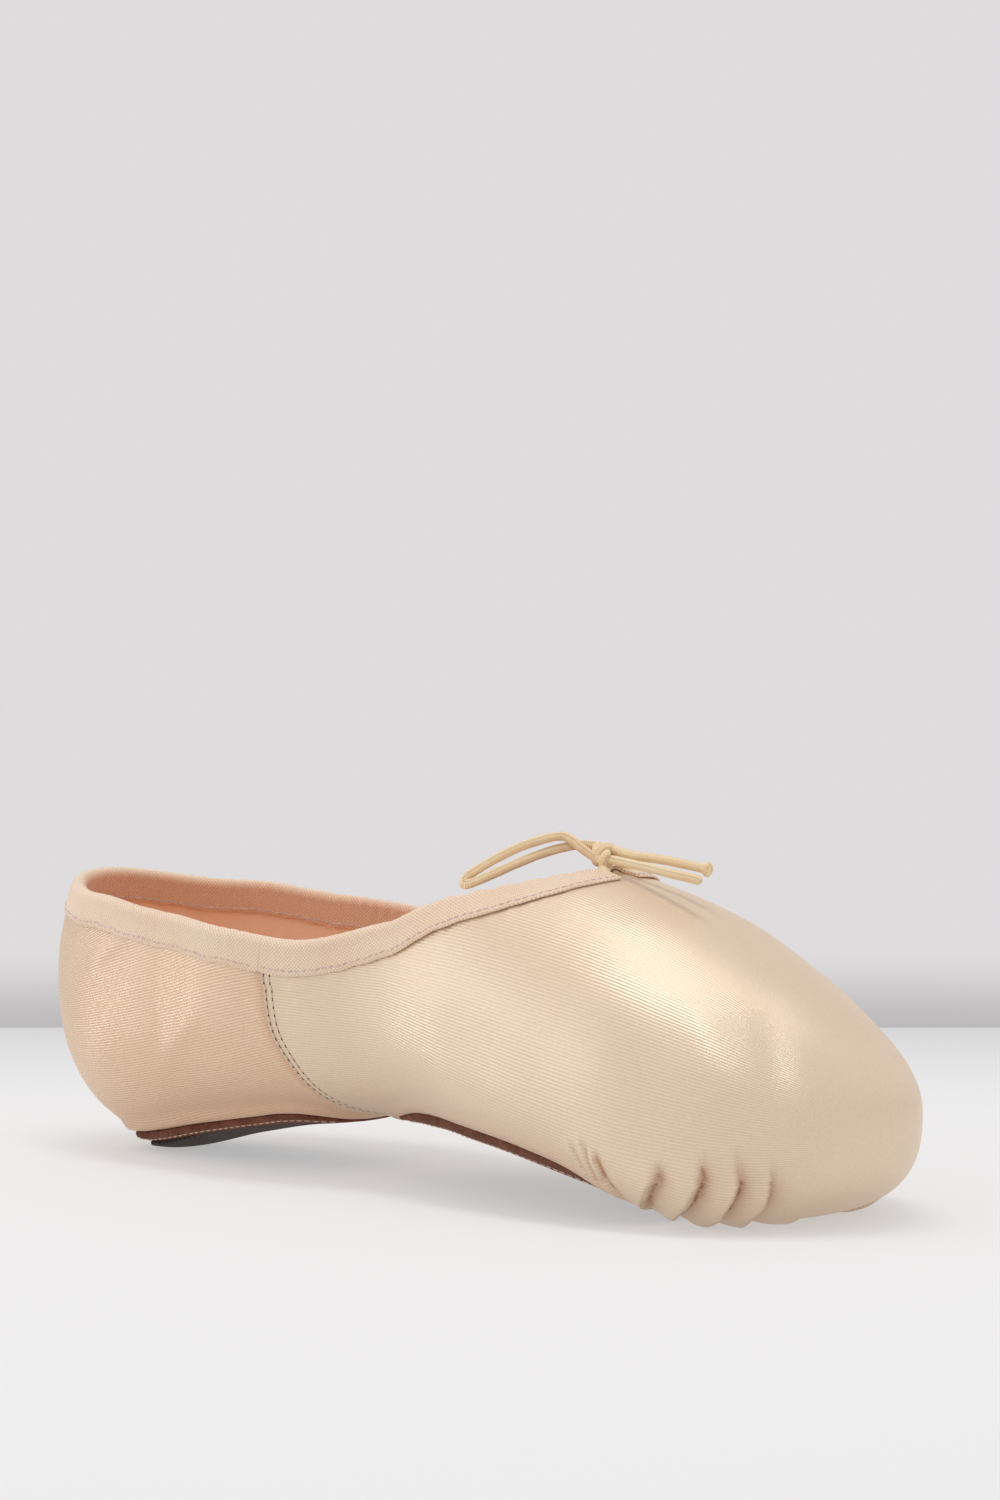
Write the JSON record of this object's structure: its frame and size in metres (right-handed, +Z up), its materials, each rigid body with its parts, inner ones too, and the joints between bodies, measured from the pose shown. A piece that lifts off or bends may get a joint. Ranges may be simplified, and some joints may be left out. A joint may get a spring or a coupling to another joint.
{
  "type": "ballet slipper",
  "caption": "Low-cut satin ballet shoe with a stiffened boxed toe, stretch heel quarter, bound drawstring topline with a small bow, and split suede soles.",
  "frame": {"origin": "centre of the bounding box in plan, on the floor that the shoe stands on", "axes": "+X from heel to toe, +Y to the wearer's left, +Z up"},
  "size_m": [0.234, 0.08, 0.0786],
  "materials": {
    "satin": "smooth cream satin with a soft sheen",
    "stretch_satin": "knitted stretch satin with a visible grain",
    "lining": "matt cotton drill",
    "box": "hard paste-stiffened cloth",
    "board": "pressed fibre board",
    "foam": "soft closed-cell foam",
    "tape": "cotton twill tape",
    "cord": "braided elastic cord",
    "thread": "polyester thread",
    "suede": "brown suede",
    "tread": "matt dark rubberised leather"
  },
  "bodies": {
    "forefoot": {"vamp_satin": "satin", "vamp_lining": "lining", "toe_box": "box", "insole_board": "board", "forefoot_sock": "lining", "forefoot_outsole": "suede", "forefoot_outsole_stitching": "thread", "side_seam_stitching": "thread", "binding_right": "tape", "binding_left": "tape", "binding_stitching_front": "thread", "drawstring": "cord", "bow_knot": "cord", "bow_loop": "cord", "bow_tail_upper": "cord", "bow_tail_lower": "cord"},
    "heel": {"heel_satin": "stretch_satin", "heel_lining": "lining", "heel_cushion": "foam", "heel_sock": "lining", "heel_outsole": "suede", "heel_outsole_stitching": "thread", "heel_tread": "tread", "binding_heel": "tape", "binding_stitching_heel": "thread"}
  },
  "joints": [
    {"name": "arch_flex", "type": "hinge", "parent": "forefoot", "child": "heel", "pos_m": [-0.031, 0, 0.0575], "axis": [0, 1, 0], "range_deg": [0, 16], "stiffness_Nm_per_rad": 0.25, "deforming": ["drawstring"]}
  ]
}
